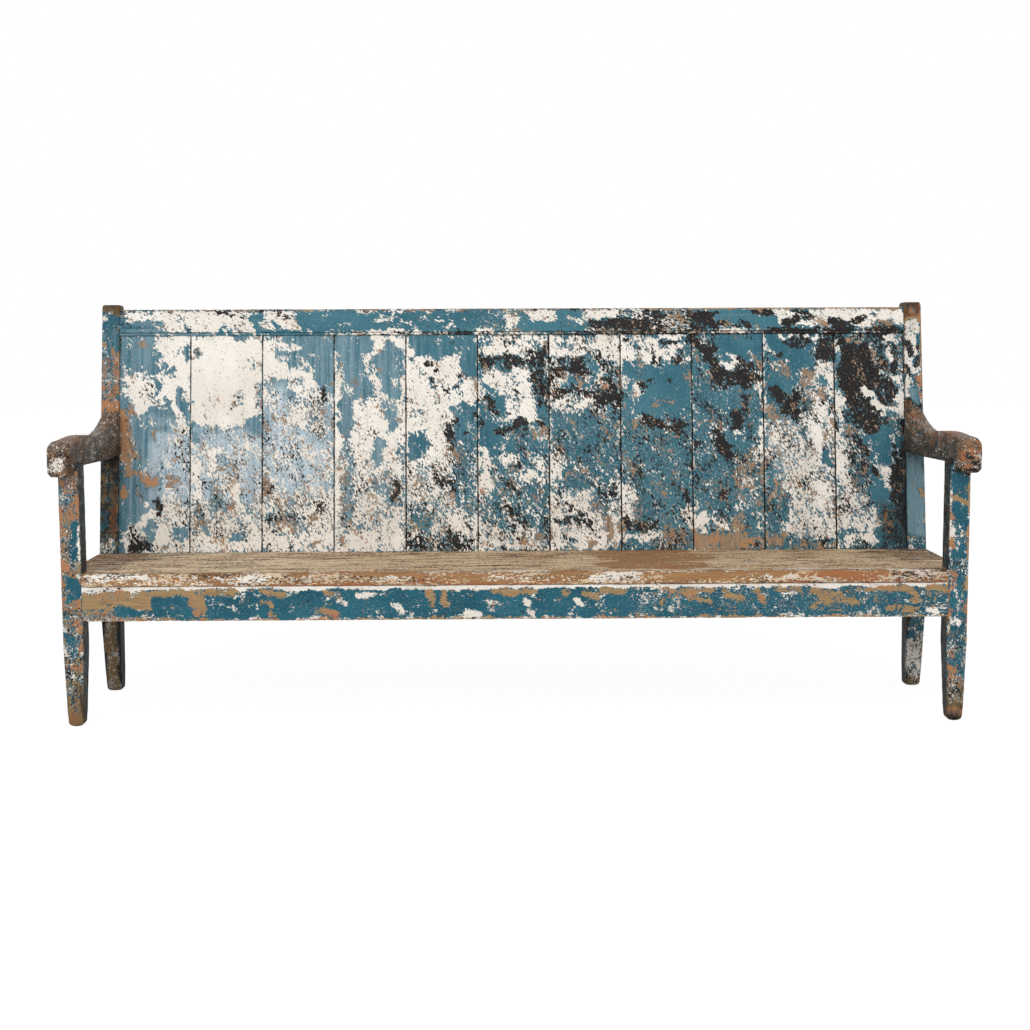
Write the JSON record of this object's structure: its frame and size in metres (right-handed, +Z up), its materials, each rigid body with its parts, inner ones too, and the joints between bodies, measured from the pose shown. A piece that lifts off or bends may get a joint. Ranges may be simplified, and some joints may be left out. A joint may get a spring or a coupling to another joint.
{
  "type": "high-back settle",
  "caption": "Long high-back settle in worn painted pine: plank seat on tapered legs, board back under a beaded top rail, and shaped arms with rounded noses.",
  "frame": {"origin": "centre of the bounding box's bottom, on the floor", "axes": "+X along the seat to the viewer's right, +Y from the front to the back, +Z up; the bench faces -Y"},
  "size_m": [2.392, 0.6639, 1.117],
  "materials": {
    "frame_paint": "worn teal paint over cream on pine, satin",
    "back_paint": "flaking blue paint over cream and black on pine boards",
    "worn_arm_wood": "dark handled wood with chips of paint, low gloss",
    "bare_seat_pine": "weathered bare pine, matte",
    "inner_pine": "old unpainted pine, matte",
    "peg_wood": "old hardwood end grain",
    "nail_iron": "rusted iron"
  },
  "bodies": {
    "root": {"front_leg_left": "frame_paint", "front_leg_right": "frame_paint", "rear_post_left": "frame_paint", "rear_post_right": "frame_paint", "front_apron": "frame_paint", "side_rail_left": "frame_paint", "side_rail_right": "frame_paint", "back_board_01": "back_paint", "back_board_02": "back_paint", "back_board_03": "back_paint", "back_board_04": "back_paint", "back_board_05": "back_paint", "back_board_06": "back_paint", "back_board_07": "back_paint", "back_board_08": "back_paint", "back_board_09": "back_paint", "back_board_10": "back_paint", "back_board_11": "back_paint", "top_rail": "back_paint", "arm_left": "worn_arm_wood", "arm_right": "worn_arm_wood", "front_seat_plank": "bare_seat_pine", "rear_seat_plank": "bare_seat_pine", "rear_seat_rail": "inner_pine", "seat_bearer_left": "inner_pine", "seat_bearer_middle": "inner_pine", "seat_bearer_right": "inner_pine", "apron_pegs": "peg_wood", "rear_rail_pegs": "peg_wood", "side_rail_pegs": "peg_wood", "arm_pegs": "peg_wood", "top_rail_pegs": "peg_wood", "seat_nails": "nail_iron"}
  },
  "joints": []
}
